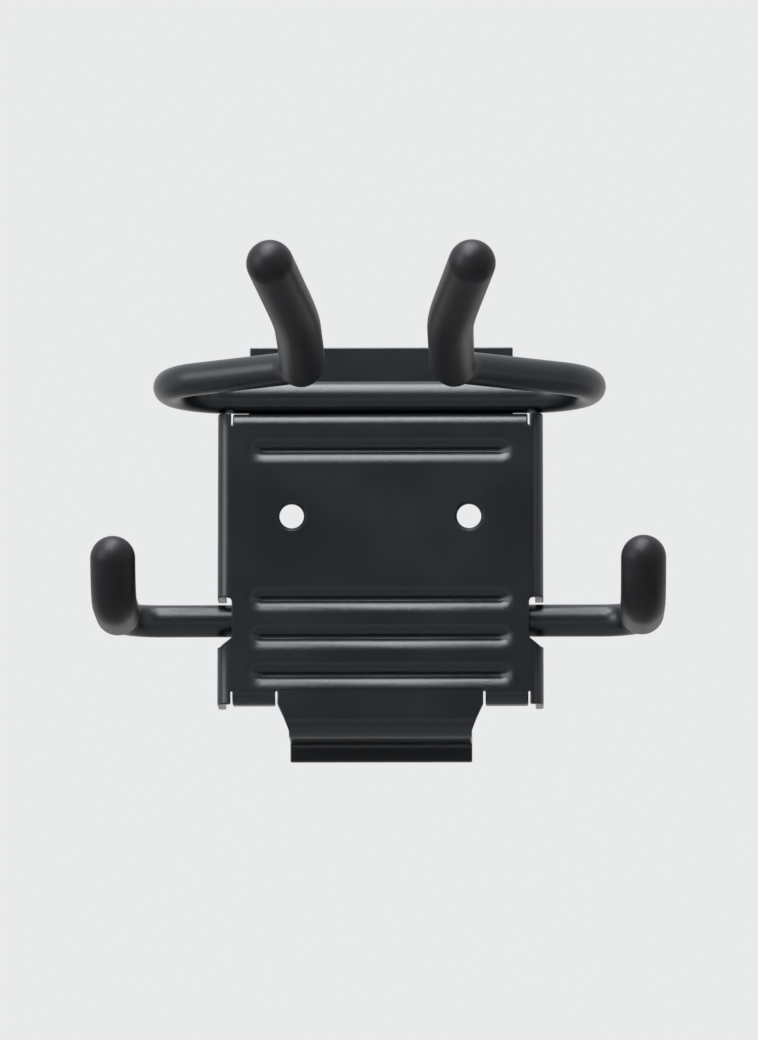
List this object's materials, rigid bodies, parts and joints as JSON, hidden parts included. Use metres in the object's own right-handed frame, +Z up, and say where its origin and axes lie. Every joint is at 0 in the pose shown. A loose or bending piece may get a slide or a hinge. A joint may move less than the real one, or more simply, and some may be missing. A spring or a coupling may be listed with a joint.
{
  "type": "ski hanger",
  "caption": "Wall hanger for a pair of skis and a pair of poles: folded, ribbed steel back plate with bent rods welded on and moulded sleeves over the rod ends.",
  "frame": {"origin": "middle of the upper seat: the underside of the hook's shelf, in the plane of the wall's face", "axes": "+X to the viewer's right along the wall, +Y into the wall, +Z up"},
  "size_m": [0.1274, 0.155, 0.0952],
  "materials": {
    "coated_steel": "satin black powder coat",
    "sleeve_rubber": "matt black moulded rubber"
  },
  "bodies": {
    "root": {"back_plate": "coated_steel", "ski_rod": "coated_steel", "pole_rod": "coated_steel", "ski_rod_weld_left": "coated_steel", "ski_rod_weld_right": "coated_steel", "pole_rod_weld_left": "coated_steel", "pole_rod_weld_right": "coated_steel", "ski_sleeve_left": "sleeve_rubber", "ski_sleeve_right": "sleeve_rubber", "pole_sleeve_left": "sleeve_rubber", "pole_sleeve_right": "sleeve_rubber"}
  },
  "joints": []
}
